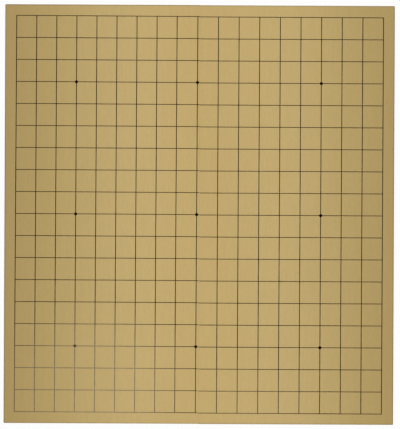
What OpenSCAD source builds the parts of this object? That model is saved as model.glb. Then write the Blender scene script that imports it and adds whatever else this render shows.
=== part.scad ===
// Folding go board: two veneered halves on two butt hinges that are let into the underside.
// X runs across the columns, Y along the seam towards the far side, and Z up from the table.
// The origin is on the table, under the middle of the seam.

/* [Board] */
// Width of one half, from the seam to its outer edge
half_w = 210.94; // [190:0.01:240]
// Depth of one half, along the seam
half_d = 453.6; // [420:0.1:520]
// Thickness of one half, without its feet
panel_t = 15; // [13:0.5:24]
// Gap between the two halves
seam_gap = 0.02; // [0.02:0.02:0.6]
// How much nearer than the left half the right half sits on the hinges
half_slip = 0.2; // [0:0.1:1]
// Ease on the outer edges
edge_ease = 0.8; // [0.3:0.1:1.5]
// Ease on the edges along the seam
seam_ease = 0.05; // [0.05:0.05:0.4]

/* [Layers] */
// Thickness of the face and back veneers
veneer_t = 0.6; // [0.4:0.1:1]
// Thickness of the solid edging round the core
edging_t = 3; // [2:0.5:8]

/* [Printed grid] */
// Width of a column's printed line
column_w = 0.8; // [0.5:0.05:1.5]
// Width of a row's printed line
row_w = 0.65; // [0.5:0.05:1.5]
// Diameter of a star point
star_d = 3.4; // [2.5:0.1:6]
// Thickness of the ink
ink_t = 0.1; // [0.06:0.02:0.2]
// Margin from the far and near edges to the outermost rows
row_margin = 12.45; // [8:0.05:20]
// Margin from the left edge to the first column
left_margin = 12.2; // [8:0.05:20]
// Margin from the right edge to the last column
right_margin = 12.65; // [8:0.05:20]
// Distance of the tenth column from the middle of the seam
tenth_inset = 2.8; // [2.2:0.1:5]
// How far the left rows run past the middle of the tenth column, towards the seam
tenth_overhang = 2.4; // [0.4:0.1:3]
// Width of the space between the ninth and the tenth column
tenth_space = 22.4; // [20:0.1:24]
// Distance of the eleventh column from the middle of the seam
eleventh_inset = 19.8; // [17:0.1:21]
// Turn of the left print out of square with its half, in degrees
left_print_turn = -0.12; // [-0.2:0.02:0.2]
// Turn of the right print out of square with its half, in degrees
right_print_turn = -0.06; // [-0.2:0.02:0.2]
// How much nearer than the middle of its half the right print sits
right_print_drop = 0.5; // [0:0.05:0.8]
// Least bare strip between the seam edge and the ends of the rows
seam_bare = 0.15; // [0.1:0.05:0.8]

/* [Hinges] */
// Distance of a hinge's middle from the far or near end of the board
hinge_inset = 77; // [50:1:120]
// Length of a hinge along its pin
hinge_l = 50; // [40:1:60]
// Width of a leaf, from the pin's axis to its free edge
leaf_w = 19; // [16:0.5:26]
// Thickness of a leaf
leaf_t = 1.2; // [0.8:0.1:1.6]
// Diameter of the barrel
barrel_d = 5; // [4.4:0.1:6]
// Diameter of the pin
pin_d = 2.5; // [2:0.1:3]
// Depth of the pin's axis below the underside
axis_drop = 0.5; // [0.4:0.1:0.8]
// Radial clearance between the pin and the knuckles
pin_clear = 0.05; // [0.02:0.01:0.1]
// Gap between one knuckle and the next
knuckle_gap = 0.3; // [0.2:0.05:0.6]
// Room round the barrel in its groove
groove_clear = 0.5; // [0.3:0.1:1]
// Room round a leaf in its mortise
mortise_clear = 0.2; // [0.1:0.05:0.4]

/* [Screws] */
// Diameter of a screw's shank
screw_d = 2.8; // [2:0.1:3.2]
// Diameter of a screw's head
screw_head_d = 5.2; // [4.6:0.1:6]
// Length of a screw
screw_l = 10; // [8:0.5:11]
// Length of a screw's point
screw_point = 3; // [2:0.5:4]
// Width of a screw's point at its tip
screw_tip_d = 0.6; // [0.4:0.1:1]
// Width of the slot in a screw's head
slot_w = 0.7; // [0.5:0.1:1]
// Depth of the slot in a screw's head
slot_depth = 0.6; // [0.3:0.1:0.8]
// Distance of the end screws from the ends of a leaf
screw_end = 8; // [6:0.5:10]
// Distance of the end screws from a leaf's free edge
screw_edge = 5; // [4:0.5:6]
// How much closer to the pin the middle screw sits
screw_stagger = 4; // [0:0.5:5]
// Room round a screw in its hole
screw_clear = 0.05; // [0.02:0.01:0.1]

/* [Feet] */
// Diameter of a foot against the board
foot_d = 13; // [10:0.5:18]
// Diameter of a foot against the table
foot_tip_d = 11; // [8:0.5:16]
// Distance of a foot's middle from the outer edges
foot_inset = 22; // [12:1:40]
// Room between the hinge barrels and the table
table_clear = 0.5; // [0.3:0.1:2]

/* [Hidden] */
$fn = 64;
// Length by which a cut runs past the faces that it opens
cut_over = 1;

// Heights above the table
foot_h = axis_drop + barrel_d / 2 + table_clear;
z_under = foot_h;
z_axis = z_under - axis_drop;
z_top = z_under + panel_t;
core_t = panel_t - 2 * veneer_t;

// Distances from the middle of the seam, the same way out on both halves
x_seam = seam_gap / 2;
x_outer = x_seam + half_w;
foot_x = x_outer - foot_inset;
foot_y = half_d / 2 - foot_inset;

// Where each half lies along the seam
left_y = half_slip / 2;
right_y = -half_slip / 2;

// Grid: rows are counted from the near side, and columns outwards from the seam
row_count = 19;
row_pitch = (half_d - 2 * row_margin) / (row_count - 1);
row_ys = [for (i = [0 : row_count - 1]) i * row_pitch - half_d / 2 + row_margin];
outer_spaces = 8;
left_pitch = (x_outer - left_margin - tenth_inset - tenth_space) / outer_spaces;
left_outer_columns = [for (i = [0 : outer_spaces]) tenth_inset + tenth_space + i * left_pitch];
left_columns = concat([tenth_inset], left_outer_columns);
right_pitch = (x_outer - right_margin - eleventh_inset) / outer_spaces;
right_columns = [for (i = [0 : outer_spaces]) eleventh_inset + i * right_pitch];
left_row_start = tenth_inset - tenth_overhang;
right_row_start = -cut_over;
star_rows = [row_ys[3], row_ys[9], row_ys[15]];
left_star_columns = [left_columns[0], left_columns[6]];
right_star_columns = [right_columns[5]];

// Hinges: the left leaf has the knuckles at both ends, and the right leaf those between
far_y = half_d / 2 - hinge_inset;
near_y = -far_y;
hinge_ys = [far_y, near_y];
knuckle_count = 5;
knuckle_l = (hinge_l - (knuckle_count - 1) * knuckle_gap) / knuckle_count;
left_knuckles = [0, 2, 4];
right_knuckles = [1, 3];
screw_y = hinge_l / 2 - screw_end;
screw_x = leaf_w - screw_edge;
screw_places = [[screw_x, screw_y], [screw_x - screw_stagger, 0], [screw_x, -screw_y]];
// How the slot of each screw was left, in degrees
slot_turns = [15, -50, 70];

veneer_color = "#C8AE78";
back_color = "#C2A672";
edging_color = "#B3955F";
core_color = "#A88C66";
ink_color = "#16150F";
brass_color = "#B99C57";
rubber_color = "#262524";

// Turns a piece that is drawn on the right of the seam over to the left
module to_left() {
    mirror([1, 0, 0]) children();
}

// One half's outside, eased on its long edges and its outer corners, with its middle along the seam at y
module eased_half(y) {
    y_far = y + half_d / 2;
    y_near = y - half_d / 2;
    intersection() {
        translate([0, y_far, 0])
            rotate([90, 0, 0])
                linear_extrude(half_d)
                    polygon([
                        [x_seam + seam_ease, z_under],
                        [x_outer - edge_ease, z_under],
                        [x_outer, z_under + edge_ease],
                        [x_outer, z_top - edge_ease],
                        [x_outer - edge_ease, z_top],
                        [x_seam + seam_ease, z_top],
                        [x_seam, z_top - seam_ease],
                        [x_seam, z_under + seam_ease]
                    ]);
        rotate([90, 0, 90])
            linear_extrude(x_outer)
                polygon([
                    [y_near + edge_ease, z_under],
                    [y_far - edge_ease, z_under],
                    [y_far, z_under + edge_ease],
                    [y_far, z_top - edge_ease],
                    [y_far - edge_ease, z_top],
                    [y_near + edge_ease, z_top],
                    [y_near, z_top - edge_ease],
                    [y_near, z_under + edge_ease]
                ]);
        linear_extrude(z_top)
            polygon([
                [x_seam, y_near],
                [x_outer - edge_ease, y_near],
                [x_outer, y_near + edge_ease],
                [x_outer, y_far - edge_ease],
                [x_outer - edge_ease, y_far],
                [x_seam, y_far]
            ]);
    }
}

// The room that a hinge takes out of the wood: a groove for the barrel and a mortise for a leaf
module hinge_seats() {
    for (y = hinge_ys) {
        groove_l = hinge_l + 2 * groove_clear;
        translate([0, y - groove_l / 2, z_axis])
            rotate([-90, 0, 0])
                cylinder(d = barrel_d + 2 * groove_clear, h = groove_l);
        translate([0, y - hinge_l / 2 - mortise_clear, z_under - cut_over])
            cube([leaf_w + mortise_clear, hinge_l + 2 * mortise_clear, leaf_t + cut_over]);
    }
}

// Sets a copy of its children at each screw of a hinge whose middle is at y, turned as its slot was left
module at_screws(y) {
    for (i = [0 : len(screw_places) - 1])
        translate([screw_places[i][0], y + screw_places[i][1], z_under])
            rotate([0, 0, slot_turns[i]]) children();
}

// A flat layer of one half, between two heights and within four sides
module layer(x_from, x_to, y_from, y_to, z_from, thickness) {
    translate([x_from, y_from, z_from])
        cube([x_to - x_from, y_to - y_from, thickness]);
}

// The core, inside its edging, with the seats and pilot holes of the hinges
module half_core(y) {
    y_end = half_d / 2 - edging_t;
    difference() {
        layer(x_seam + edging_t, x_outer - edging_t, y - y_end, y + y_end, z_under + veneer_t, core_t);
        hinge_seats();
        for (hinge_y = hinge_ys)
            at_screws(hinge_y) cylinder(d = screw_d + 2 * screw_clear, h = screw_l + screw_clear);
    }
}

// A veneer as large as the half, with its bottom face at height z
module half_veneer(y, z) {
    intersection() {
        layer(x_seam, x_outer, y - half_d / 2, y + half_d / 2, z, veneer_t);
        eased_half(y);
    }
}

// The back veneer, cut away for the hinges
module half_back(y) {
    difference() {
        half_veneer(y, z_under);
        hinge_seats();
    }
}

// An edging strip along the seam or the outer edge, as deep as the half
module side_edging(y, x_from) {
    intersection() {
        layer(x_from, x_from + edging_t, y - half_d / 2, y + half_d / 2, z_under + veneer_t, core_t);
        eased_half(y);
    }
}

// The edging strip at the seam, cut away for the hinges
module seam_edging(y) {
    difference() {
        side_edging(y, x_seam);
        hinge_seats();
    }
}

// An edging strip at the far or the near end, between the side strips
module end_edging(y, y_from) {
    intersection() {
        layer(
            x_seam + edging_t, x_outer - edging_t, y_from, y_from + edging_t,
            z_under + veneer_t, core_t
        );
        eased_half(y);
    }
}

// Lines and star points of one half as flat shapes, with the rows starting at row_start from the seam
module grid_shapes(columns, star_columns, row_start) {
    last_column = columns[len(columns) - 1];
    first_row = row_ys[0];
    last_row = row_ys[row_count - 1];
    for (x = columns)
        translate([x - column_w / 2, first_row - row_w / 2])
            square([column_w, last_row - first_row + row_w]);
    for (y = row_ys)
        translate([row_start, y - row_w / 2])
            square([last_column + column_w / 2 - row_start, row_w]);
    for (x = star_columns, y = star_rows)
        translate([x, y]) circle(d = star_d);
}

// The ink of one half, on top of its face veneer, ending just short of the seam
module half_print(columns, star_columns, row_start, y, turn) {
    intersection() {
        translate([half_w / 2, y, z_top])
            rotate([0, 0, turn])
                translate([-half_w / 2, 0, 0])
                    linear_extrude(ink_t) grid_shapes(columns, star_columns, row_start);
        layer(x_seam + seam_bare, x_outer, -half_d, half_d, z_top, ink_t);
    }
}

// One knuckle of a hinge, counted from the near end
module knuckle(index, y) {
    translate([0, y - hinge_l / 2 + index * (knuckle_l + knuckle_gap), z_axis])
        rotate([-90, 0, 0])
            cylinder(d = barrel_d, h = knuckle_l);
}

// The notch that a leaf needs beside one of the other leaf's knuckles
module knuckle_notch(index, y) {
    translate([
        -cut_over,
        y - hinge_l / 2 + index * (knuckle_l + knuckle_gap) - knuckle_gap,
        z_under - cut_over
    ])
        cube([cut_over + barrel_d / 2 + knuckle_gap, knuckle_l + 2 * knuckle_gap, leaf_t + 2 * cut_over]);
}

// A leaf, flush with the underside, with its knuckles, bore and countersunk holes
module hinge_leaf(y, own_knuckles, other_knuckles) {
    difference() {
        union() {
            difference() {
                layer(0, leaf_w, y - hinge_l / 2, y + hinge_l / 2, z_under, leaf_t);
                for (index = other_knuckles) knuckle_notch(index, y);
            }
            for (index = own_knuckles) knuckle(index, y);
        }
        translate([0, y - hinge_l / 2 - cut_over, z_axis])
            rotate([-90, 0, 0])
                cylinder(d = pin_d + 2 * pin_clear, h = hinge_l + 2 * cut_over);
        at_screws(y)
            cylinder(d1 = screw_head_d + 2 * screw_clear, d2 = screw_d + 2 * screw_clear, h = leaf_t);
    }
}

// The pin of a hinge, flush with the ends of the barrel
module hinge_pin(y) {
    translate([0, y - hinge_l / 2, z_axis])
        rotate([-90, 0, 0])
            cylinder(d = pin_d, h = hinge_l);
}

// A countersunk wood screw with its head at the bottom, as deep in the leaf as the leaf is thick
module wood_screw() {
    shank_l = screw_l - leaf_t - screw_point;
    difference() {
        union() {
            cylinder(d1 = screw_head_d, d2 = screw_d, h = leaf_t);
            translate([0, 0, leaf_t]) cylinder(d = screw_d, h = shank_l);
            translate([0, 0, leaf_t + shank_l])
                cylinder(d1 = screw_d, d2 = screw_tip_d, h = screw_point);
        }
        translate([-screw_head_d, -slot_w / 2, -cut_over])
            cube([2 * screw_head_d, slot_w, cut_over + slot_depth]);
    }
}

// The three screws of one leaf
module leaf_screws(y) {
    at_screws(y) wood_screw();
}

// A foot under the half whose middle lies at y, at its far or near corner
module corner_foot(y) {
    translate([foot_x, y, 0])
        cylinder(d1 = foot_tip_d, d2 = foot_d, h = foot_h);
}

// Left half
module left_core() {
    color(core_color) to_left() half_core(left_y);
}
module left_face_veneer() {
    color(veneer_color) to_left() half_veneer(left_y, z_top - veneer_t);
}
module left_back_veneer() {
    color(back_color) to_left() half_back(left_y);
}
module left_printed_grid() {
    color(ink_color)
        to_left()
            half_print(left_columns, left_star_columns, left_row_start, left_y, -left_print_turn);
}
module left_outer_edging() {
    color(edging_color) to_left() side_edging(left_y, x_outer - edging_t);
}
module left_seam_edging() {
    color(edging_color) to_left() seam_edging(left_y);
}
module left_far_edging() {
    color(edging_color) to_left() end_edging(left_y, left_y + half_d / 2 - edging_t);
}
module left_near_edging() {
    color(edging_color) to_left() end_edging(left_y, left_y - half_d / 2);
}
module left_far_foot() {
    color(rubber_color) to_left() corner_foot(left_y + foot_y);
}
module left_near_foot() {
    color(rubber_color) to_left() corner_foot(left_y - foot_y);
}

// Right half
module right_core() {
    color(core_color) half_core(right_y);
}
module right_face_veneer() {
    color(veneer_color) half_veneer(right_y, z_top - veneer_t);
}
module right_back_veneer() {
    color(back_color) half_back(right_y);
}
module right_printed_grid() {
    color(ink_color)
        half_print(
            right_columns, right_star_columns, right_row_start,
            right_y - right_print_drop, right_print_turn
        );
}
module right_outer_edging() {
    color(edging_color) side_edging(right_y, x_outer - edging_t);
}
module right_seam_edging() {
    color(edging_color) seam_edging(right_y);
}
module right_far_edging() {
    color(edging_color) end_edging(right_y, right_y + half_d / 2 - edging_t);
}
module right_near_edging() {
    color(edging_color) end_edging(right_y, right_y - half_d / 2);
}
module right_far_foot() {
    color(rubber_color) corner_foot(right_y + foot_y);
}
module right_near_foot() {
    color(rubber_color) corner_foot(right_y - foot_y);
}

// Hinges
module far_hinge_left_leaf() {
    color(brass_color) to_left() hinge_leaf(far_y, left_knuckles, right_knuckles);
}
module far_hinge_right_leaf() {
    color(brass_color) hinge_leaf(far_y, right_knuckles, left_knuckles);
}
module far_hinge_pin() {
    color(brass_color) hinge_pin(far_y);
}
module far_hinge_left_screws() {
    color(brass_color) to_left() leaf_screws(far_y);
}
module far_hinge_right_screws() {
    color(brass_color) leaf_screws(far_y);
}
module near_hinge_left_leaf() {
    color(brass_color) to_left() hinge_leaf(near_y, left_knuckles, right_knuckles);
}
module near_hinge_right_leaf() {
    color(brass_color) hinge_leaf(near_y, right_knuckles, left_knuckles);
}
module near_hinge_pin() {
    color(brass_color) hinge_pin(near_y);
}
module near_hinge_left_screws() {
    color(brass_color) to_left() leaf_screws(near_y);
}
module near_hinge_right_screws() {
    color(brass_color) leaf_screws(near_y);
}

left_core();
left_face_veneer();
left_back_veneer();
left_printed_grid();
left_outer_edging();
left_seam_edging();
left_far_edging();
left_near_edging();
left_far_foot();
left_near_foot();
right_core();
right_face_veneer();
right_back_veneer();
right_printed_grid();
right_outer_edging();
right_seam_edging();
right_far_edging();
right_near_edging();
right_far_foot();
right_near_foot();
far_hinge_left_leaf();
far_hinge_right_leaf();
far_hinge_pin();
far_hinge_left_screws();
far_hinge_right_screws();
near_hinge_left_leaf();
near_hinge_right_leaf();
near_hinge_pin();
near_hinge_left_screws();
near_hinge_right_screws();
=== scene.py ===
"""Looks of a folding go board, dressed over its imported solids.

The wooden panels and the hinges keep their solids and get the finish of the real stuff. The printed
grid and the rubber feet are built again with finer forms. Sizes in the classes are in millimetres, and
Blender gets metres.
"""

import logging
import math
from dataclasses import dataclass, field, replace
from enum import Enum

import bmesh
import bpy
from mathutils import Matrix, Vector

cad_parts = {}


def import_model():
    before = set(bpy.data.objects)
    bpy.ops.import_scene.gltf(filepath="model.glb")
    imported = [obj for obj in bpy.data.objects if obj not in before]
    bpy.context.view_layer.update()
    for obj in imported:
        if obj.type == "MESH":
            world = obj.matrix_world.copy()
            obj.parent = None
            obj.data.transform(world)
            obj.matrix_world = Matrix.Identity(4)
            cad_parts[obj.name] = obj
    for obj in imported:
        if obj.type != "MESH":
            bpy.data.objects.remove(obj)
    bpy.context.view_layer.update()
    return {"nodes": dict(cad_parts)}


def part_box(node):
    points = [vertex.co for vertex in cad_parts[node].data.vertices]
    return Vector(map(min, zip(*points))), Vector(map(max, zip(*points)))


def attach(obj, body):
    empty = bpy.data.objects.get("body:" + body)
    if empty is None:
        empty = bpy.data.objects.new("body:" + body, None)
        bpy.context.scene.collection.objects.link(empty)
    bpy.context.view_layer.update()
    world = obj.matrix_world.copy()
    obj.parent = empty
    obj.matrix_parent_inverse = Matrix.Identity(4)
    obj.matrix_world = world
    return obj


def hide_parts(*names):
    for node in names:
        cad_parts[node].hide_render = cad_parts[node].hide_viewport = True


LOG = logging.getLogger("go_board")
MM = 0.001
FRAME_PX = (400, 429)

# Where nearly all of a noise pattern's values lie
NOISE_SPAN = (0.3, 0.7)

Node = bpy.types.Node
Piece = bpy.types.Object
Socket = bpy.types.NodeSocket
Tree = bpy.types.NodeTree
Outline = list[tuple[float, float]]


class Side(Enum):
    """The two halves of the board, as seen from above."""

    LEFT = "left"
    RIGHT = "right"

    @property
    def outward(self) -> int:
        """Sign of X from the seam towards this half's outer edge."""
        return -1 if self is Side.LEFT else 1

    @property
    def body(self) -> str:
        """Name of the body that this half's pieces ride on."""
        return f"{self.value}_half"


class End(Enum):
    """The two ends of the seam."""

    FAR = "far"
    NEAR = "near"


class Grain(Enum):
    """The axis that a wooden piece's fibres run along."""

    ACROSS_SEAM = 0
    ALONG_SEAM = 1


class Slot(Enum):
    """The record's material slots."""

    FACE_VENEER = "face_veneer"
    BACK_VENEER = "back_veneer"
    EDGING = "edging"
    CORE_BOARD = "core_board"
    BLACK_INK = "black_ink"
    HINGE_BRASS = "hinge_brass"
    SCREW_BRASS = "screw_brass"
    RUBBER_FEET = "rubber_feet"


def linear(code: str) -> tuple[float, float, float, float]:
    """Turns an sRGB hex colour to linear light.

    Args:
        code: The colour as #RRGGBB.

    Returns:
        Red, green and blue in linear light, and an alpha of 1.
    """
    parts = (int(code[i:i + 2], 16) / 255 for i in (1, 3, 5))
    red, green, blue = (c / 12.92 if c <= 0.04045 else ((c + 0.055) / 1.055) ** 2.4 for c in parts)
    return red, green, blue, 1.0


def empty_tree(owner: bpy.types.Material | bpy.types.World) -> Tree:
    """Gives a material or the room an empty node tree.

    Args:
        owner: The material or the room.

    Returns:
        Its node tree, with no nodes in it.
    """
    owner.use_nodes = True
    owner.node_tree.nodes.clear()
    return owner.node_tree


def add(
    tree: Tree,
    kind: str,
    inputs: dict[str | int, object] | None = None,
    **settings: object,
) -> Node:
    """Adds one shader node with its settings and links.

    Args:
        tree: The node tree that the node joins.
        kind: The node's type, without the prefix that all shader nodes share.
        inputs: For each input that isn't left as it is, a plain value or another node's output.
        settings: The node's own settings.

    Returns:
        The new node.
    """
    node = tree.nodes.new(f"ShaderNode{kind}")
    for name, value in settings.items():
        setattr(node, name, value)
    for key, value in (inputs or {}).items():
        if isinstance(value, Socket):
            tree.links.new(value, node.inputs[key])
        else:
            node.inputs[key].default_value = value
    return node


# Finishes


@dataclass(frozen=True)
class Finish:
    """What a piece is made of and how its surface was made.

    Attributes:
        name: The real material and how it was worked.
        slot: The record's slot that this finish belongs to. Not used.
        color: Its usual colour, as sRGB hex.
        roughness: Its usual roughness.
        shine: Strength of its mirror reflection, where 0.5 is that of bare lacquer.
        raised: Height of the finest forms that stand up from its surface.
        relief: How much of that height the light picks out, from 0 to 1.
    """

    name: str
    slot: Slot
    color: str
    roughness: float
    shine: float
    raised: float
    relief: float

    def make(self) -> bpy.types.Material:
        """Makes the material, with the values that are the same all over on the shader itself.

        Returns:
            The material, with its pattern laid in board coordinates.
        """
        material = bpy.data.materials.new(self.name)
        tree = empty_tree(material)
        shader = add(tree, "BsdfPrincipled", {
            "Base Color": linear(self.color),
            "Roughness": self.roughness,
            "Specular IOR Level": self.shine,
        })
        add(tree, "OutputMaterial", {"Surface": shader.outputs["BSDF"]})
        height = self.lay_pattern(tree, shader, add(tree, "TexCoord").outputs["Object"])
        bump = add(tree, "Bump", {
            "Height": height, "Strength": self.relief, "Distance": self.raised * MM,
        })
        tree.links.new(bump.outputs["Normal"], shader.inputs["Normal"])
        return material

    def lay_pattern(self, tree: Tree, shader: Node, place: Socket) -> Socket:
        """Lays the material's own pattern over its plain values.

        Args:
            tree: The material's node tree.
            shader: The shader that takes the colour and the roughness.
            place: The point on the board, in metres.

        Returns:
            How high the surface stands at the point, from 0 to 1.
        """
        raise NotImplementedError


@dataclass(frozen=True)
class Figure:
    """One scale of a wood's figure, drawn out along the fibres.

    Attributes:
        width: Width of a streak across the fibres.
        run: Length of a streak along the fibres.
        share: Its share of the whole figure.
    """

    width: float
    run: float
    share: float

    def lay(self, tree: Tree, place: Socket, grain: Grain) -> Socket:
        """Draws the streaks.

        Args:
            tree: The material's node tree.
            place: The point in the wood, in metres.
            grain: The axis that the fibres run along.

        Returns:
            The streaks' depth, about 0.5 on the whole.
        """
        scale = [1 / (self.width * MM)] * 3
        scale[grain.value] = 1 / (self.run * MM)
        drawn = add(tree, "Mapping", {"Vector": place, "Scale": scale}).outputs["Vector"]
        return add(tree, "TexNoise", {"Vector": drawn, "Scale": 1.0, "Detail": 2.0}).outputs["Fac"]


@dataclass(frozen=True)
class SoftSpot:
    """A round or oval place on the face that fades out towards its rim.

    Attributes:
        centre: Its middle on the face.
        reach: Half its width and half its depth.
        strength: How strong it is in the middle, from 0 to 1.
        even: Share of its reach, from the middle out, where it is as strong as in the middle.
    """

    centre: tuple[float, float]
    reach: tuple[float, float]
    strength: float
    even: float

    def lay(self, tree: Tree, place: Socket) -> Socket:
        """Draws the spot.

        Args:
            tree: The material's node tree.
            place: The point on the board, in metres.

        Returns:
            How strong the spot is at the point.
        """
        scale = tuple(1 / (half * MM) for half in self.reach)
        middle = tuple(-c * MM * s for c, s in zip(self.centre, scale))
        spot = add(tree, "Mapping", {
            "Vector": place, "Location": (*middle, 0.0), "Scale": (*scale, 0.0),
        }).outputs["Vector"]
        away = add(tree, "VectorMath", {0: spot}, operation="LENGTH").outputs["Value"]
        return add(tree, "MapRange", {
            "Value": away, "From Min": self.even, "From Max": 1.0,
            "To Min": self.strength, "To Max": 0.0,
        }, interpolation_type="SMOOTHSTEP").outputs["Result"]


@dataclass(frozen=True)
class PinKnot(SoftSpot):
    """A tiny dark speck in a veneer, where a twig's trace was cut through.

    Attributes:
        even: Its dark heart, as a share of its reach.
    """

    even: float = 0.2


@dataclass(frozen=True)
class WipingAndGlarePatch(SoftSpot):
    """A place where wiping has thinned the ink and a painted reflection of lamp glare greys it.

    Attributes:
        even: The most paled part, as a share of its reach.
    """

    even: float = 0.3


@dataclass(frozen=True)
class HeldStar(SoftSpot):
    """A star point in a paled patch, whose thicker film is spared a share of the wiping and of the painted
    glare.

    Attributes:
        even: Its best kept part, as a share of its reach.
    """

    even: float = 0.2


@dataclass(frozen=True)
class ShadedRim:
    """Painted shade along the rim of the board, where the eased edges fall into shade, laid together with
    the darkening that handling leaves under the thin lacquer.

    Attributes:
        outline: Half the board's width and half its depth.
        width: How far the darkening reaches in from the edge.
        depth: How dark the very edge is, from 0 to 1.
    """

    outline: tuple[float, float]
    width: float
    depth: float

    def lay(self, tree: Tree, place: Socket) -> Socket:
        """Draws the painted shade of the rim.

        Args:
            tree: The material's node tree.
            place: The point on the board, in metres.

        Returns:
            How much the rim darkens the point.
        """
        across = add(tree, "SeparateXYZ", {"Vector": place}).outputs
        gaps = []
        for axis, half in zip("XY", self.outline):
            out = add(tree, "Math", {0: across[axis]}, operation="ABSOLUTE").outputs[0]
            gaps.append(add(tree, "Math", {0: half * MM, 1: out}, operation="SUBTRACT").outputs[0])
        inside = add(tree, "Math", {0: gaps[0], 1: gaps[1]}, operation="MINIMUM").outputs[0]
        return add(tree, "MapRange", {
            "Value": inside, "From Min": 0.0, "From Max": self.width * MM,
            "To Min": self.depth, "To Max": 0.0,
        }, interpolation_type="SMOOTHSTEP").outputs["Result"]


@dataclass(frozen=True)
class LacqueredWood(Finish):
    """Planed and sanded wood under a thin satin lacquer.

    Attributes:
        dark: Colour of the denser late wood, as sRGB hex.
        grain: The axis that the fibres run along.
        figure: The scales of its figure, from the broadest to the finest.
        marks: Specks and the painted shade of the rim, each laid over the figure.
        speck_and_shade: Colour of the specks and of the painted rim shade, as sRGB hex.
        tone_span: Depths of the figure at which the wood is lightest and darkest.
        gloss_spread: How far the fibres make the lacquer rougher and smoother.
        right_stock: How far off in the figure the right half was cut, so that the halves don't match
            along the seam.
    """

    dark: str
    grain: Grain
    figure: tuple[Figure, ...]
    marks: tuple[PinKnot | ShadedRim, ...] = ()
    speck_and_shade: str = "#4A3A20"
    tone_span: tuple[float, float] = (0.32, 0.68)
    gloss_spread: float = 0.05
    right_stock: tuple[float, float, float] = (310.0, 770.0, 130.0)

    def lay_pattern(self, tree: Tree, shader: Node, place: Socket) -> Socket:
        """Lays the figure, and lets the finest of it stand a little through the lacquer.

        Args:
            tree: The material's node tree.
            shader: The shader that takes the colour and the roughness.
            place: The point on the board, in metres.

        Returns:
            How high the fibres stand at the point.
        """
        across = add(tree, "SeparateXYZ", {"Vector": place}).outputs["X"]
        right = add(tree, "Math", {0: across, 1: 0.0}, operation="GREATER_THAN").outputs[0]
        cut_off = [length * MM for length in self.right_stock]
        in_wood = add(tree, "VectorMath", {0: right, 1: cut_off, 2: place}, operation="MULTIPLY_ADD")
        streaks = [scale.lay(tree, in_wood.outputs["Vector"], self.grain) for scale in self.figure]
        depth: Socket | float = 0.0
        for scale, streak in zip(self.figure, streaks):
            depth = add(tree, "Math", {0: streak, 1: scale.share, 2: depth},
                        operation="MULTIPLY_ADD").outputs[0]
        late = add(tree, "MapRange", {
            "Value": depth, "From Min": self.tone_span[0], "From Max": self.tone_span[1],
        }).outputs["Result"]
        color = add(tree, "Mix", {"Factor": late, "A": linear(self.color), "B": linear(self.dark)},
                    data_type="RGBA").outputs["Result"]
        # The marks lay the specks and the painted shade along the rim over the wood's colour.
        for mark in self.marks:
            color = add(tree, "Mix", {
                "Factor": mark.lay(tree, place), "A": color, "B": linear(self.speck_and_shade),
            }, data_type="RGBA").outputs["Result"]
        tree.links.new(color, shader.inputs["Base Color"])
        sheen = add(tree, "MapRange", {
            "Value": streaks[-1], "From Min": NOISE_SPAN[0], "From Max": NOISE_SPAN[1],
            "To Min": self.roughness - self.gloss_spread, "To Max": self.roughness + self.gloss_spread,
        })
        tree.links.new(sheen.outputs["Result"], shader.inputs["Roughness"])
        return streaks[-1]


@dataclass(frozen=True)
class RawFibreboard(Finish):
    """Pressed wood fibre, sawn and left bare.

    Attributes:
        dark: Colour of the darker fibre bundles, as sRGB hex.
        bundle: Size of a fibre bundle.
    """

    dark: str
    bundle: float

    def lay_pattern(self, tree: Tree, shader: Node, place: Socket) -> Socket:
        """Lays the matted fibre bundles.

        Args:
            tree: The material's node tree.
            shader: The shader that takes the colour.
            place: The point on the board, in metres.

        Returns:
            How high the fuzz stands at the point.
        """
        fuzz = add(tree, "TexNoise", {
            "Vector": place, "Scale": 1 / (self.bundle * MM), "Detail": 3.0,
        }).outputs["Fac"]
        color = add(tree, "Mix", {"Factor": fuzz, "A": linear(self.color), "B": linear(self.dark)},
                    data_type="RGBA").outputs["Result"]
        tree.links.new(color, shader.inputs["Base Color"])
        return fuzz


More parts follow.
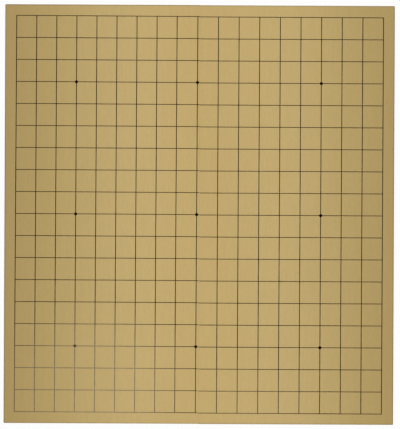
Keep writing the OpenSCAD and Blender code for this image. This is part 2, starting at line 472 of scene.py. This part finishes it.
@dataclass(frozen=True)
class ScreenPrint(Finish):
    """Black ink, screen printed on the lacquer.

    Attributes:
        pale: Colour that it pales to where wiping has thinned it and where painted glare greys it, as sRGB
            hex.
        patches: The places where it is wiped thin and greyed by painted glare.
        held: The star points in them.
        blotch: Size of the uneven spots in the film.
        wiping_and_glare_span: How much of a patch's wiping and painted glare the lowest and the highest
            spots of the film take.
    """

    pale: str
    patches: tuple[WipingAndGlarePatch, ...]
    held: tuple[HeldStar, ...]
    blotch: float
    wiping_and_glare_span: tuple[float, float] = (0.75, 1.2)

    def lay_pattern(self, tree: Tree, shader: Node, place: Socket) -> Socket:
        """Lays the wiping and the painted glare, a little uneven from spot to spot, because the high spots
        of the film are rubbed first.

        Args:
            tree: The material's node tree.
            shader: The shader that takes the colour.
            place: The point on the board, in metres.

        Returns:
            How high the film stands at the point.
        """
        spots = add(tree, "TexNoise", {
            "Vector": place, "Scale": 1 / (self.blotch * MM), "Detail": 2.0,
        }).outputs["Fac"]
        uneven = add(tree, "MapRange", {
            "Value": spots, "From Min": NOISE_SPAN[0], "From Max": NOISE_SPAN[1],
            "To Min": self.wiping_and_glare_span[0], "To Max": self.wiping_and_glare_span[1],
        }).outputs["Result"]
        # Painted glare: the patches pale the ink to a grey that stands in for a lamp's reflection, along
        # with the wiping.
        paled: Socket | float = 0.0
        for patch in self.patches:
            paled = add(tree, "Math", {0: patch.lay(tree, place), 1: paled}, operation="MAXIMUM").outputs[0]
        for star in self.held:
            unspared = add(tree, "Math", {0: 1.0, 1: star.lay(tree, place)}, operation="SUBTRACT").outputs[0]
            paled = add(tree, "Math", {0: paled, 1: unspared}, operation="MULTIPLY").outputs[0]
        wiping_and_glare = add(tree, "Math", {0: paled, 1: uneven}, operation="MULTIPLY", use_clamp=True).outputs[0]
        color = add(tree, "Mix", {"Factor": wiping_and_glare, "A": linear(self.color), "B": linear(self.pale)},
                    data_type="RGBA").outputs["Result"]
        tree.links.new(color, shader.inputs["Base Color"])
        return spots


@dataclass(frozen=True)
class AgedBrass(Finish):
    """Yellow brass that handling and air have dulled.

    Attributes:
        tarnish: Colour of its tarnish, as sRGB hex.
        cloud: Size of a tarnished cloud.
        scratch: Width and length of a fine scratch.
        cloud_span: Noise values at which a cloud starts and at which it is densest.
        densest: How much of the metal's colour the densest tarnish hides.
        dulling: How much rougher full tarnish makes the metal.
        rubbing: How far the scratches spread the roughness.
    """

    tarnish: str
    cloud: float
    scratch: tuple[float, float]
    cloud_span: tuple[float, float] = (0.42, 0.75)
    densest: float = 0.8
    dulling: float = 0.18
    rubbing: float = 0.16

    def lay_pattern(self, tree: Tree, shader: Node, place: Socket) -> Socket:
        """Lays the tarnish in clouds and the scratches along the seam.

        Args:
            tree: The material's node tree.
            shader: The shader that takes the colour and the roughness.
            place: The point on the board, in metres.

        Returns:
            How high the metal stands at the point, between its scratches.
        """
        shader.inputs["Metallic"].default_value = 1.0
        clouds = add(tree, "TexNoise", {
            "Vector": place, "Scale": 1 / (self.cloud * MM), "Detail": 4.0,
        }).outputs["Fac"]
        dull = add(tree, "MapRange", {
            "Value": clouds, "From Min": self.cloud_span[0], "From Max": self.cloud_span[1],
            "To Max": self.densest,
        }).outputs["Result"]
        color = add(tree, "Mix", {"Factor": dull, "A": linear(self.color), "B": linear(self.tarnish)},
                    data_type="RGBA").outputs["Result"]
        tree.links.new(color, shader.inputs["Base Color"])
        width, run = (1 / (length * MM) for length in self.scratch)
        drawn = add(tree, "Mapping", {"Vector": place, "Scale": (width, run, width)}).outputs["Vector"]
        lines = add(tree, "TexNoise", {"Vector": drawn, "Scale": 1.0, "Detail": 1.0}).outputs["Fac"]
        rubbed = add(tree, "Math", {
            0: lines, 1: self.rubbing, 2: self.roughness - self.rubbing / 2,
        }, operation="MULTIPLY_ADD").outputs[0]
        rough = add(tree, "Math", {0: dull, 1: self.dulling, 2: rubbed},
                    operation="MULTIPLY_ADD").outputs[0]
        tree.links.new(rough, shader.inputs["Roughness"])
        return lines


@dataclass(frozen=True)
class MouldedRubber(Finish):
    """Black rubber with the fine grain of its mould, dusted by use.

    Attributes:
        dust: Colour of the dust in its grain, as sRGB hex.
        grit: Size of the mould's grain.
        film: Size of a dusty place.
        film_span: Noise values at which a dusty place starts and at which it is dustiest.
        dustiest: How much of the rubber's colour the thickest dust hides.
        ior: The rubber's index of refraction.
    """

    dust: str
    grit: float
    film: float
    film_span: tuple[float, float] = (0.4, 0.75)
    dustiest: float = 0.6
    ior: float = 1.52

    def lay_pattern(self, tree: Tree, shader: Node, place: Socket) -> Socket:
        """Lays the mould's grain and the dust.

        Args:
            tree: The material's node tree.
            shader: The shader that takes the colour.
            place: The point on the board, in metres.

        Returns:
            How high the grain stands at the point.
        """
        shader.inputs["IOR"].default_value = self.ior
        grain, film = (
            add(tree, "TexNoise", {
                "Vector": place, "Scale": 1 / (size * MM), "Detail": 2.0,
            }).outputs["Fac"]
            for size in (self.grit, self.film)
        )
        dusty = add(tree, "MapRange", {
            "Value": film, "From Min": self.film_span[0], "From Max": self.film_span[1],
            "To Max": self.dustiest,
        }).outputs["Result"]
        color = add(tree, "Mix", {"Factor": dusty, "A": linear(self.color), "B": linear(self.dust)},
                    data_type="RGBA").outputs["Result"]
        tree.links.new(color, shader.inputs["Base Color"])
        return grain


# Katsura, sliced to a veneer and lacquered satin: an even tan with hardly any figure, in faint straight
# streaks along the seam. Its growth rings are about a millimetre wide and its pores far finer, so both
# are drawn as coarse as they need to be to show.
FACE_FIGURE = (
    Figure(width=45, run=300, share=0.2),
    Figure(width=2.2, run=25, share=0.35),
    Figure(width=1.2, run=5, share=0.45),
)
# Painted shade: the face darkens towards the board's outer edges, standing in for the shade of the eased
# edges together with handling.
BOARD_RIM_SHADE = ShadedRim(outline=(210.95, 226.8), width=2.0, depth=0.45)
FACE_VENEER = LacqueredWood(
    name="katsura_veneer_satin_lacquered",
    slot=Slot.FACE_VENEER,
    color="#C4A96C",
    roughness=0.45,
    shine=0.3,
    raised=0.02,
    relief=0.3,
    dark="#BDA266",
    grain=Grain.ALONG_SEAM,
    figure=FACE_FIGURE,
    marks=(
        PinKnot(centre=(180.9, 2.3), reach=(0.8, 0.8), strength=0.5),
        PinKnot(centre=(202.4, 122.0), reach=(0.8, 0.8), strength=0.3),
        BOARD_RIM_SHADE,
    ),
)

# The same veneer on the back, not picked for evenness: its streaks show more, and it is a shade darker.
BACK_VENEER = LacqueredWood(
    name="katsura_back_veneer_satin_lacquered",
    slot=Slot.BACK_VENEER,
    color="#BD9F62",
    roughness=0.5,
    shine=0.3,
    raised=0.02,
    relief=0.3,
    dark="#A98B52",
    grain=Grain.ALONG_SEAM,
    figure=FACE_FIGURE,
    # The back veneer takes the same painted shade along its rim.
    marks=(BOARD_RIM_SHADE,),
)

# Solid katsura, planed to strips and lacquered with the panel: a browner tan with fibres along each
# strip, drawn coarser than they are, as on the face.
EDGING_FIGURE = (
    Figure(width=12, run=300, share=0.3),
    Figure(width=1.6, run=60, share=0.4),
    Figure(width=0.6, run=10, share=0.3),
)
LONG_EDGING = LacqueredWood(
    name="katsura_edging_along_seam",
    slot=Slot.EDGING,
    color="#B69A60",
    roughness=0.48,
    shine=0.35,
    raised=0.02,
    relief=0.3,
    dark="#9A7D48",
    grain=Grain.ALONG_SEAM,
    figure=EDGING_FIGURE,
)
CROSS_EDGING = replace(LONG_EDGING, name="katsura_edging_across_seam", grain=Grain.ACROSS_SEAM)

# Medium-density fibreboard: a dull brown felt of fibre bundles, with no gloss.
CORE_BOARD = RawFibreboard(
    name="fibreboard_raw",
    slot=Slot.CORE_BOARD,
    color="#A88A64",
    roughness=0.9,
    shine=0.2,
    raised=0.1,
    relief=0.5,
    dark="#8C6E4A",
    bundle=1.5,
)

# Screen-printing ink: a dead flat black film, paled to a chalky grey where the board was wiped most, and
# greyed there too by a painted reflection of lamp glare.
BLACK_INK = ScreenPrint(
    name="screen_ink_matt_black",
    slot=Slot.BLACK_INK,
    color="#120702",
    roughness=0.9,
    shine=0.02,
    raised=0.01,
    relief=0.2,
    pale="#C4B292",
    patches=(
        WipingAndGlarePatch(centre=(-125, -192), reach=(150, 108), strength=0.42),
        WipingAndGlarePatch(centre=(50, -195), reach=(100, 45), strength=0.14),
    ),
    held=(HeldStar(centre=(-134, -142.7), reach=(3, 3), strength=0.5),),
    blotch=6,
)

# Yellow brass sheet, pressed and rolled: a soft warm shine with brown clouds and fine rubbing along the
# seam. The rubbing is drawn wider than it is, because a real scratch is too fine to show.
HINGE_BRASS = AgedBrass(
    name="yellow_brass_pressed",
    slot=Slot.HINGE_BRASS,
    color="#C9A961",
    roughness=0.3,
    shine=0.5,
    raised=0.02,
    relief=0.2,
    tarnish="#7C6034",
    cloud=7,
    scratch=(0.25, 6),
)

# Yellow brass rod, turned: brighter than the leaves, with finer and shorter marks.
SCREW_BRASS = AgedBrass(
    name="yellow_brass_turned",
    slot=Slot.SCREW_BRASS,
    color="#CDAF6C",
    roughness=0.26,
    shine=0.5,
    raised=0.02,
    relief=0.2,
    tarnish="#846738",
    cloud=4,
    scratch=(0.2, 0.8),
)

# Black rubber, compression moulded: a matt near-black, greyed by dust. Its grain is drawn coarser than
# the mould's real tenth of a millimetre, which is too fine to show.
RUBBER = MouldedRubber(
    name="rubber_moulded_black",
    slot=Slot.RUBBER_FEET,
    color="#262524",
    roughness=0.82,
    shine=0.5,
    raised=0.05,
    relief=0.4,
    dust="#4A4844",
    grit=0.3,
    film=3.6,
)

FINISHES = (
    FACE_VENEER, BACK_VENEER, LONG_EDGING, CROSS_EDGING, CORE_BOARD, BLACK_INK, HINGE_BRASS, SCREW_BRASS,
    RUBBER,
)
Stock = dict[Finish, bpy.types.Material]


# Meshes


def link(name: str, mesh: bmesh.types.BMesh) -> Piece:
    """Turns a finished mesh into an object of the scene.

    Args:
        name: The piece's name.
        mesh: Its mesh, in the board's frame. It is freed.

    Returns:
        The new object, at the origin.
    """
    data = bpy.data.meshes.new(name)
    mesh.to_mesh(data)
    mesh.free()
    piece = bpy.data.objects.new(name, data)
    bpy.context.scene.collection.objects.link(piece)
    return piece


def dress(piece: Piece, material: bpy.types.Material) -> None:
    """Gives a piece one material all over.

    Args:
        piece: The piece.
        material: Its material.
    """
    piece.data.materials.clear()
    piece.data.materials.append(material)
    LOG.info("%s: %s", piece.name, material.name)


@dataclass(frozen=True)
class Softening:
    """The little rounding that sanding or tumbling leaves on a solid's sharp edges.

    Attributes:
        width: Width of the rounding.
        steps: Faces across the rounding.
        sharp: Angle between two faces from which their edge counts as sharp, in degrees.
        joined: Gap up to which two points count as one.
    """

    width: float
    steps: int = 2
    sharp: float = 30.0
    joined: float = 0.001

    def apply(self, piece: Piece) -> None:
        """Rounds a solid's sharp edges, and leaves its own mesh as it is.

        Args:
            piece: The solid.
        """
        weld = piece.modifiers.new("joined_faces", "WELD")
        weld.merge_threshold = self.joined * MM
        rounding = piece.modifiers.new("softened_edges", "BEVEL")
        rounding.width = self.width * MM
        rounding.segments = self.steps
        rounding.limit_method = "ANGLE"
        rounding.angle_limit = math.radians(self.sharp)
        piece.modifiers.new("even_shading", "WEIGHTED_NORMAL").keep_sharp = False


@dataclass
class PrintedGrid:
    """The lines and star points on one half, printed in one pass.

    Attributes:
        side: The half that it is printed on.
        seam_columns: Distances from the middle of the seam to the columns beside it, which keep no even
            space.
        first_column: Distance of the first evenly spaced column from the middle of the seam.
        outer_margin: Distance of the last column from the half's outer edge.
        star_columns: The columns that star points lie on, counted from the seam.
        row_start: Distance of the rows' inner ends from the middle of the seam, which cuts off what runs
            past it.
        turn: Turn of the whole print on its half, in degrees, anticlockwise.
        drop: How far the print lies below the half's middle.
        even_spaces: Number of even spaces between the columns.
        row_count: Number of rows.
        star_rows: The rows that star points lie on, counted from the near edge.
        row_margin: Distance of the first and the last row from the half's edges.
        column_w: Width of a column's line.
        row_w: Width of a row's line.
        star_d: Diameter of a star point.
        film: Thickness of the ink.
        seam_stop: Distance from the middle of the seam at which the ink ends.
        arc_steps: Straight steps in a quarter of a star point's rim.
        point_digits: Decimals to which two outlines' points have to agree to be shared.
        columns: The columns' distances from the middle of the seam.
        rows: The rows' places along the seam.
        pivot: The point that the print is turned about.
        face: Height of the veneer that it is printed on, in metres.
        points: The points laid so far, by their places before the turn.
    """

    side: Side
    seam_columns: tuple[float, ...]
    first_column: float
    outer_margin: float
    star_columns: tuple[int, ...]
    row_start: float
    turn: float
    drop: float = 0.0
    even_spaces: int = 8
    row_count: int = 19
    star_rows: tuple[int, ...] = (3, 9, 15)
    row_margin: float = 12.45
    column_w: float = 0.8
    row_w: float = 0.65
    star_d: float = 3.4
    film: float = 0.1
    seam_stop: float = 0.16
    arc_steps: int = 8
    point_digits: int = 4
    columns: tuple[float, ...] = field(init=False)
    rows: tuple[float, ...] = field(init=False)
    pivot: Vector = field(init=False)
    face: float = field(init=False)
    points: dict[tuple[float, float], bmesh.types.BMVert] = field(init=False, default_factory=dict)

    def __post_init__(self) -> None:
        """Works out the columns, the rows and the print's place from the half's solids."""
        name = self.side.value
        low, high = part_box(f"{name}_outer_edging")
        inner_low, inner_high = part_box(f"{name}_seam_edging")
        outer = max(abs(low.x), abs(high.x)) / MM
        seam = min(abs(inner_low.x), abs(inner_high.x)) / MM
        depth = (high.y - low.y) / MM
        middle = (high.y + low.y) / 2 / MM - self.drop
        space = (outer - self.outer_margin - self.first_column) / self.even_spaces
        even = tuple(self.first_column + i * space for i in range(self.even_spaces + 1))
        self.columns = self.seam_columns + even
        pitch = (depth - 2 * self.row_margin) / (self.row_count - 1)
        first_row = middle - depth / 2 + self.row_margin
        self.rows = tuple(first_row + i * pitch for i in range(self.row_count))
        self.pivot = Vector((self.side.outward * (outer - seam) / 2, middle))
        self.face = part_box(f"{name}_face_veneer")[1].z

    def build(self, stock: Stock) -> None:
        """Builds the print on its half's face veneer.

        Args:
            stock: The materials by finish.
        """
        mesh = bmesh.new()
        for column in range(len(self.columns)):
            for row in range(self.row_count):
                self._fill(mesh, self._crossing(column, row))
                self._fill(mesh, self._row_piece(column, row))
                if row:
                    self._fill(mesh, self._column_piece(column, row))
        for face in mesh.faces:
            face.normal_update()
            if face.normal.z < 0:
                face.normal_flip()
        piece = link(f"{self.side.value}_printed_lines", mesh)
        film = piece.modifiers.new("ink_film", "SOLIDIFY")
        film.thickness = self.film * MM
        film.offset = 1.0
        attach(piece, self.side.body)
        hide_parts(f"{self.side.value}_printed_grid")
        dress(piece, stock[BLACK_INK])

    def _is_star(self, column: int, row: int) -> bool:
        """Whether a star point lies on the crossing."""
        return column in self.star_columns and row in self.star_rows

    def _reach(self, column: int, row: int) -> tuple[float, float]:
        """How far a crossing reaches before the plain lines go on.

        Args:
            column: The column, counted from the seam.
            row: The row, counted from the near edge.

        Returns:
            Its reach along the row and along the column, from the middle.
        """
        half_column, half_row = self.column_w / 2, self.row_w / 2
        if not self._is_star(column, row):
            return half_column, half_row
        radius = self.star_d / 2
        return math.sqrt(radius ** 2 - half_row ** 2), math.sqrt(radius ** 2 - half_column ** 2)

    def _crossing(self, column: int, row: int) -> Outline:
        """Outline of one crossing, a rectangle or a round star point with flats for its lines.

        Args:
            column: The column, counted from the seam.
            row: The row, counted from the near edge.

        Returns:
            The outline's points, as distances from the seam and along it.
        """
        row_reach, column_reach = self._reach(column, row)
        radius = math.hypot(row_reach, self.row_w / 2)
        start = math.atan2(self.row_w / 2, row_reach)
        span = math.atan2(column_reach, self.column_w / 2) - start
        steps = self.arc_steps if self._is_star(column, row) else 0
        arc = [start + span * i / steps for i in range(steps + 1)] if steps else [start]
        u, v = self.columns[column], self.rows[row]
        outline = []
        for along_row, along_column in ((1, 1), (-1, 1), (-1, -1), (1, -1)):
            for angle in arc if along_row == along_column else reversed(arc):
                outline.append((u + along_row * radius * math.cos(angle),
                                v + along_column * radius * math.sin(angle)))
        return outline

    def _row_piece(self, column: int, row: int) -> Outline:
        """Outline of a row's line from a crossing back to its neighbour, or to the seam from the first.

        Args:
            column: The column, counted from the seam.
            row: The row, counted from the near edge.

        Returns:
            The outline's points, as distances from the seam and along it.
        """
        half, v = self.row_w / 2, self.rows[row]
        end = self.columns[column] - self._reach(column, row)[0]
        if column:
            start = self.columns[column - 1] + self._reach(column - 1, row)[0]
        else:
            start = self.row_start
        return [(start, v - half), (end, v - half), (end, v + half), (start, v + half)]

    def _column_piece(self, column: int, row: int) -> Outline:
        """Outline of a column's line from a crossing back to the one before it.

        Args:
            column: The column, counted from the seam.
            row: The row, counted from the near edge, and not the first.

        Returns:
            The outline's points, as distances from the seam and along it.
        """
        half, u = self.column_w / 2, self.columns[column]
        end = self.rows[row] - self._reach(column, row)[1]
        start = self.rows[row - 1] + self._reach(column, row - 1)[1]
        return [(u - half, start), (u + half, start), (u + half, end), (u - half, end)]

    def _fill(self, mesh: bmesh.types.BMesh, outline: Outline) -> None:
        """Fills one outline with a face, sharing points with its neighbours.

        Args:
            mesh: The print's mesh.
            outline: The outline's points, as distances from the seam and along it.
        """
        corners = []
        for u, v in outline:
            key = (round(u, self.point_digits), round(v, self.point_digits))
            if key not in self.points:
                flat = Vector((self.side.outward * u, v)) - self.pivot
                flat.rotate(Matrix.Rotation(math.radians(self.turn), 2))
                flat += self.pivot
                flat.x = self.side.outward * max(self.side.outward * flat.x, self.seam_stop)
                self.points[key] = mesh.verts.new((flat.x * MM, flat.y * MM, self.face))
            corners.append(self.points[key])
        mesh.faces.new(corners)


@dataclass
class MouldedFoot:
    """A round rubber foot: a flange under the board, a tapered flank, a rounded rim and a dished tip.

    Attributes:
        side: The half that it is stuck to.
        end: The end of the seam that it is nearer to.
        tip_d: Diameter of the tip.
        flange_t: Thickness of the flange.
        flange_edge: Width of the bevel on the flange's edges.
        rim_r: Radius of the rim round the tip.
        dish_d: Diameter of the dish in the tip.
        dish_t: Depth of the dish.
        arc_steps: Straight steps in the outline of the dish and in that of the rim.
        turns: Points round the foot.
    """

    side: Side
    end: End
    tip_d: float = 11.0
    flange_t: float = 0.6
    flange_edge: float = 0.15
    rim_r: float = 0.8
    dish_d: float = 5.0
    dish_t: float = 0.25
    arc_steps: int = 6
    turns: int = 64

    def build(self, stock: Stock) -> None:
        """Builds the foot where its solid is.

        Args:
            stock: The materials by finish.
        """
        node = f"{self.side.value}_{self.end.value}_foot"
        low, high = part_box(node)
        centre = (low + high) / 2
        mesh = bmesh.new()
        rings = []
        for radius, height in self._profile((high.x - low.x) / 2 / MM, (high.z - low.z) / MM):
            ring = []
            for i in range(self.turns if radius else 1):
                angle = 2 * math.pi * i / self.turns
                ring.append(mesh.verts.new((
                    centre.x + radius * MM * math.cos(angle),
                    centre.y + radius * MM * math.sin(angle),
                    low.z + height * MM,
                )))
            rings.append(ring)
        for inner, outer in zip(rings, rings[1:]):
            for i in range(self.turns):
                j = (i + 1) % self.turns
                loop = ((inner, i), (inner, j), (outer, j), (outer, i))
                corners = [ring[k % len(ring)] for ring, k in loop]
                mesh.faces.new(list(dict.fromkeys(corners)))
        bmesh.ops.recalc_face_normals(mesh, faces=mesh.faces)
        for face in mesh.faces:
            face.smooth = True
        piece = link(f"{node}_bumper", mesh)
        piece.modifiers.new("even_shading", "WEIGHTED_NORMAL").keep_sharp = False
        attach(piece, self.side.body)
        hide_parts(node)
        dress(piece, stock[RUBBER])

    def _profile(self, radius: float, height: float) -> Outline:
        """The foot's outline from the middle of its tip round to the middle of its top.

        Args:
            radius: The flange's radius.
            height: The foot's height.

        Returns:
            Radius and height of each point.
        """
        tip, rim_r, dish, edge = self.tip_d / 2, self.rim_r, self.dish_d / 2, self.flange_edge
        steps = [i / self.arc_steps for i in range(self.arc_steps + 1)]
        hollow = [(dish * t, self.dish_t * (1 + math.cos(math.pi * t)) / 2) for t in steps]
        quarter = [math.pi / 2 * t for t in steps]
        rim = [(tip - rim_r * (1 - math.sin(a)), rim_r * (1 - math.cos(a))) for a in quarter]
        flange = height - self.flange_t
        rest = [
            (radius - edge, flange), (radius, flange + edge),
            (radius, height - edge), (radius - edge, height),
        ]
        return hollow + rim + rest + [(0.0, height)]


@dataclass
class HalfBoard:
    """One half of the board: a core between two veneers, with a strip of solid wood on each side.

    Attributes:
        side: Which half it is.
        sanding: What sanding leaves on the sharp edges.
    """

    side: Side
    sanding: Softening = Softening(width=0.12)

    def finish(self, nodes: dict[str, Piece], stock: Stock) -> None:
        """Dresses the half's solids, and softens those that show.

        Args:
            nodes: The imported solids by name.
            stock: The materials by finish.
        """
        finishes = {
            "core": CORE_BOARD, "face_veneer": FACE_VENEER, "back_veneer": BACK_VENEER,
            "outer_edging": LONG_EDGING, "seam_edging": LONG_EDGING,
            "far_edging": CROSS_EDGING, "near_edging": CROSS_EDGING,
        }
        for name, finish in finishes.items():
            piece = nodes[f"{self.side.value}_{name}"]
            dress(piece, stock[finish])
            if finish is not CORE_BOARD:
                self.sanding.apply(piece)


@dataclass
class ButtHinge:
    """One butt hinge under the seam: two leaves, a pin and six countersunk screws.

    Attributes:
        end: The end of the seam that it is nearer to.
        tumbling: What tumbling leaves on the sharp edges.
    """

    end: End
    tumbling: Softening = Softening(width=0.1)

    def finish(self, nodes: dict[str, Piece], stock: Stock) -> None:
        """Dresses the hinge's solids and softens them.

        Args:
            nodes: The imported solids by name.
            stock: The materials by finish.
        """
        finishes = {
            "left_leaf": HINGE_BRASS, "right_leaf": HINGE_BRASS, "pin": HINGE_BRASS,
            "left_screws": SCREW_BRASS, "right_screws": SCREW_BRASS,
        }
        for name, finish in finishes.items():
            piece = nodes[f"{self.end.value}_hinge_{name}"]
            dress(piece, stock[finish])
            self.tumbling.apply(piece)


# Studio


@dataclass
class Studio:
    """A white table under two long strip lights, with the camera straight above the board.

    Attributes:
        strip_xs: Places of the left and the right strip light across the board.
        strip_up: Height of the strip lights above the face.
        strip_size: Width and length of each strip.
        strip_power: Power of each strip, in watts.
        horizon: Light of the room at the level of the table.
        zenith: Light of the room from straight above.
        zenith_from: Sine of the height from which the room is as dim as straight above.
        table_half: Half the width of the table top.
        paper: Colour of the table top, as sRGB hex.
        shade: Share of the table top's look that shows its shadow, next to the board.
        fade: Distances from the middle of the board at which that share starts to fade and is gone.
        cover_reach: Reach of the dark under whatever stands on the table top.
        cover_rays: Rays that look for what stands on the table top, at each point.
        cover_span: Share of them that gets away where the table top is dark and where it is clear.
        below_span: The same for the folded half under the table top, where it is clear and where not.
        lens: Focal length of the camera.
        sensor: Long side of its sensor.
        scale: Length on the playing face that one pixel takes in.
        seam_px: Where the middle of the seam lies in the picture, in pixels from its upper left corner.
        roll: Turn of the camera about its view, in degrees.
    """

    strip_xs: tuple[float, float] = (-100.0, 113.0)
    strip_up: float = 245.0
    strip_size: tuple[float, float] = (60.0, 3000.0)
    strip_power: float = 2.07
    horizon: float = 0.9
    zenith: float = 0.15
    zenith_from: float = 0.7
    table_half: float = 6000.0
    paper: str = "#E8E8E8"
    shade: float = 0.03
    fade: tuple[float, float] = (300.0, 700.0)
    cover_reach: float = 30.0
    cover_rays: int = 8
    cover_span: tuple[float, float] = (0.15, 0.45)
    below_span: tuple[float, float] = (0.5, 0.8)
    lens: float = 70.0
    sensor: float = 36.0
    scale: float = 1.082
    seam_px: tuple[float, float] = (199.2, 214.52)
    roll: float = 0.2589

    def set_up(self, face: float) -> None:
        """Sets up the whole studio.

        Args:
            face: Height of the playing face, in metres.
        """
        bpy.context.scene.view_settings.view_transform = "Standard"
        self._place_camera(face)
        self._hang_strips(face)
        self._surround()
        self._lay_table()

    def _place_camera(self, face: float) -> None:
        """Places the camera so that the board fills the picture as in the photo.

        Args:
            face: Height of the playing face, in metres.
        """
        data = bpy.data.cameras.new("overhead_camera")
        data.sensor_fit = "VERTICAL"
        data.sensor_height = self.sensor
        data.lens = self.lens
        camera = bpy.data.objects.new("overhead_camera", data)
        turn = Matrix.Rotation(math.radians(self.roll), 2)
        off = turn @ Vector((FRAME_PX[0] / 2 - self.seam_px[0], self.seam_px[1] - FRAME_PX[1] / 2))
        away = FRAME_PX[1] * self.scale * MM * self.lens / self.sensor
        camera.location = (off.x * self.scale * MM, off.y * self.scale * MM, face + away)
        camera.rotation_euler = (0.0, 0.0, math.radians(self.roll))
        bpy.context.scene.collection.objects.link(camera)
        bpy.context.scene.camera = camera
        LOG.info("camera %.3f m above the face", away)

    def _hang_strips(self, face: float) -> None:
        """Hangs a strip light along each half.

        Args:
            face: Height of the playing face, in metres.
        """
        for side, x in zip(Side, self.strip_xs):
            data = bpy.data.lights.new(f"{side.value}_strip_light", "AREA")
            data.shape = "RECTANGLE"
            data.size, data.size_y = (length * MM for length in self.strip_size)
            data.energy = self.strip_power
            strip = bpy.data.objects.new(data.name, data)
            strip.location = (x * MM, 0.0, face + self.strip_up * MM)
            strip.visible_camera = False
            bpy.context.scene.collection.objects.link(strip)
            LOG.info("%s: %.2f W", strip.name, self.strip_power)

    def _plain_look(self, tree: Tree) -> Socket:
        """Tells the rays that see the surroundings, straight or in a reflection, from those that light.

        Args:
            tree: The node tree that asks.

        Returns:
            1 for a ray from the camera, a reflection or a clear piece, and 0 for the others.
        """
        path = add(tree, "LightPath").outputs
        seen = path["Is Camera Ray"]
        for kind in ("Is Glossy Ray", "Is Transmission Ray"):
            seen = add(tree, "Math", {0: seen, 1: path[kind]}, operation="MAXIMUM").outputs[0]
        return seen

    def _surround(self) -> None:
        """Makes the room: white to look at, and soft light from low down all round."""
        world = bpy.data.worlds.new("white_room")
        bpy.context.scene.world = world
        tree = empty_tree(world)
        toward = add(tree, "TexCoord").outputs["Generated"]
        up = add(tree, "SeparateXYZ", {"Vector": toward}).outputs["Z"]
        soft = add(tree, "MapRange", {
            "Value": up, "From Min": 0.0, "From Max": self.zenith_from,
            "To Min": self.horizon, "To Max": self.zenith,
        }, interpolation_type="SMOOTHSTEP").outputs["Result"]
        strength = add(tree, "Mix", {"Factor": self._plain_look(tree), "A": soft, "B": 1.0})
        room = add(tree, "Background", {
            "Color": linear("#FFFFFF"), "Strength": strength.outputs["Result"],
        })
        add(tree, "OutputWorld", {"Surface": room.outputs["Background"]})

    def _lay_table(self) -> None:
        """Lays the white table top, clear to look through to the white room except where it is shaded.

        The folded half hangs below the table's level, so the top is clear over it too.
        """
        mesh = bmesh.new()
        bmesh.ops.create_grid(mesh, x_segments=1, y_segments=1, size=self.table_half * MM)
        floor = link("table_top", mesh)
        material = bpy.data.materials.new("white_table_paper")
        tree = empty_tree(material)
        place = add(tree, "TexCoord").outputs["Object"]
        away = add(tree, "VectorMath", {0: place}, operation="LENGTH").outputs["Value"]
        unshaded = add(tree, "MapRange", {
            "Value": away, "From Min": self.fade[0] * MM, "From Max": self.fade[1] * MM,
            "To Min": 1 - self.shade, "To Max": 1.0,
        }, interpolation_type="SMOOTHSTEP").outputs["Result"]
        above, below = (
            add(tree, "AmbientOcclusion", {"Distance": self.cover_reach * MM}, samples=self.cover_rays,
                inside=under).outputs["AO"]
            for under in (False, True)
        )
        lit = add(tree, "MapRange", {
            "Value": above, "From Min": self.cover_span[0], "From Max": self.cover_span[1],
        }, interpolation_type="SMOOTHSTEP").outputs["Result"]
        folded = add(tree, "MapRange", {
            "Value": below, "From Min": self.below_span[0], "From Max": self.below_span[1],
            "To Min": 1.0, "To Max": 0.0,
        }, interpolation_type="SMOOTHSTEP").outputs["Result"]
        clear = add(tree, "Math", {0: lit, 1: folded}, operation="MAXIMUM").outputs[0]
        for share in (unshaded, self._plain_look(tree)):
            clear = add(tree, "Math", {0: clear, 1: share}, operation="MULTIPLY").outputs[0]
        paper = add(tree, "BsdfDiffuse", {"Color": linear(self.paper)})
        view = add(tree, "BsdfTransparent")
        look = add(tree, "MixShader", {0: clear, 1: paper.outputs["BSDF"], 2: view.outputs["BSDF"]})
        add(tree, "OutputMaterial", {"Surface": look.outputs["Shader"]})
        dress(floor, material)


def main() -> None:
    """Loads the frame, sets up the studio, and builds and dresses the board piece by piece."""
    logging.basicConfig(level=logging.INFO, format="%(message)s")
    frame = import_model()
    nodes = frame["nodes"]
    stock = {finish: finish.make() for finish in FINISHES}

    Studio().set_up(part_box("left_face_veneer")[1].z)
    for side in Side:
        HalfBoard(side).finish(nodes, stock)
    left_print = PrintedGrid(
        Side.LEFT, seam_columns=(2.8,), first_column=25.2, outer_margin=12.2, star_columns=(0, 6),
        row_start=0.4, turn=-0.12)
    right_print = PrintedGrid(
        Side.RIGHT, seam_columns=(), first_column=19.8, outer_margin=12.65, star_columns=(5,),
        row_start=-1.0, turn=-0.06, drop=0.5)
    for grid in (left_print, right_print):
        grid.build(stock)
    for end in End:
        ButtHinge(end).finish(nodes, stock)
        for side in Side:
            MouldedFoot(side, end).build(stock)


if __name__ == "__main__":
    main()
